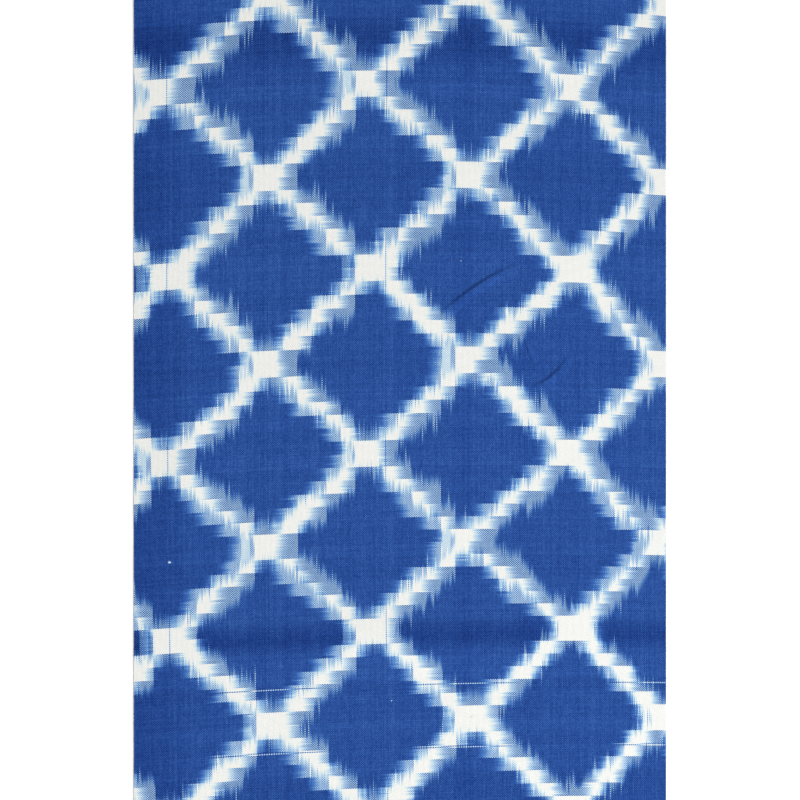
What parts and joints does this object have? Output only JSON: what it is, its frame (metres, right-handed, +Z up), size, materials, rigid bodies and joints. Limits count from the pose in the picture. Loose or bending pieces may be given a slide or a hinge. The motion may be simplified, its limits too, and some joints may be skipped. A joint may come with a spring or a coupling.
{
  "type": "double ikat cotton cloth",
  "caption": "Short cut length of plain-weave cotton with resist-dyed warp and weft, blue with a white stepped diamond lattice, lying nearly flat as a surface covering.",
  "frame": {"origin": "on the resting plane, under the middle of the cloth", "axes": "+X along the weft towards the picture's right, +Y along the warp towards the picture's top, +Z up out of the cloth's face"},
  "size_m": [0.1702, 0.266, 0.002],
  "materials": {
    "dyed_cotton": "matt plain weave, blue with a white resist-dyed lattice"
  },
  "bodies": {
    "root": {"cloth": "dyed_cotton"}
  },
  "joints": []
}
